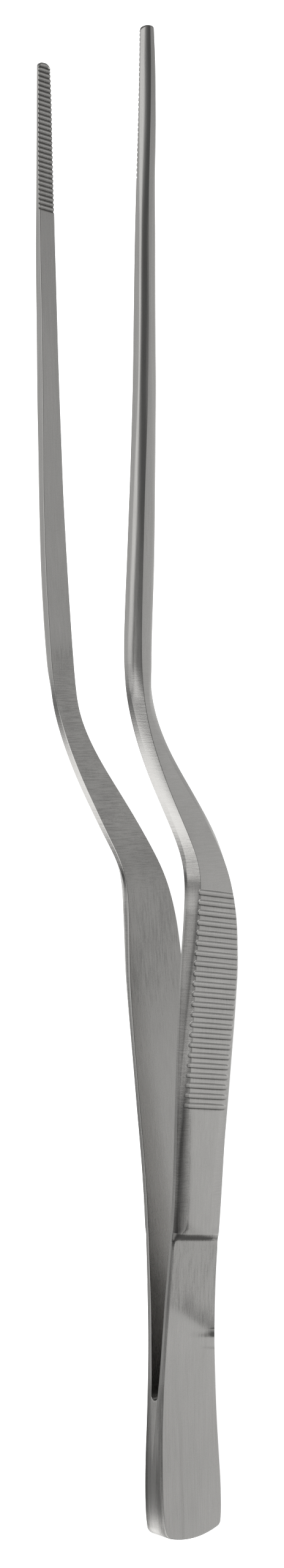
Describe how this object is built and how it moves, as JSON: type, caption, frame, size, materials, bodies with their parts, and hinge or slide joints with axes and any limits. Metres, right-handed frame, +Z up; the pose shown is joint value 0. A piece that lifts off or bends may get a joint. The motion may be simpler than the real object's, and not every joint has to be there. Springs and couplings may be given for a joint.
{
  "type": "offset dressing forceps",
  "caption": "Bayonet dressing forceps: flat welded butt, spring leaves, grooved thumb grips, offset shanks and toothed jaws that close when squeezed.",
  "frame": {"origin": "mid-length of the forceps, in the mirror plane between the legs, on the plane that the lower narrow edges of the butt and handles rest on", "axes": "+X from the butt to the tips; +Y from the right leg to the left leg, the way the jaws open; +Z up, towards the side the shanks are offset to"},
  "size_m": [0.2, 0.0236, 0.0207],
  "materials": {
    "satin_steel": "satin brushed stainless steel",
    "weld_steel": "weld metal ground flush and satin brushed"
  },
  "bodies": {
    "butt": {"left_butt_half": "satin_steel", "right_butt_half": "satin_steel", "butt_weld": "weld_steel", "left_spring_leaf": "satin_steel", "right_spring_leaf": "satin_steel"},
    "left_leg": {"left_arm": "satin_steel"},
    "right_leg": {"right_arm": "satin_steel"}
  },
  "joints": [
    {"name": "left_leg_flex", "type": "hinge", "parent": "butt", "child": "left_leg", "pos_m": [-0.07, 0.00173, 0.0055], "axis": [0, 0, -1], "range_deg": [0, 3.5], "stiffness_Nm_per_rad": 3.5, "deforming": ["left_spring_leaf"]},
    {"name": "right_leg_flex", "type": "hinge", "parent": "butt", "child": "right_leg", "pos_m": [-0.07, -0.00173, 0.0055], "axis": [0, 0, 1], "range_deg": [0, 3.5], "stiffness_Nm_per_rad": 3.5, "deforming": ["right_spring_leaf"]}
  ]
}
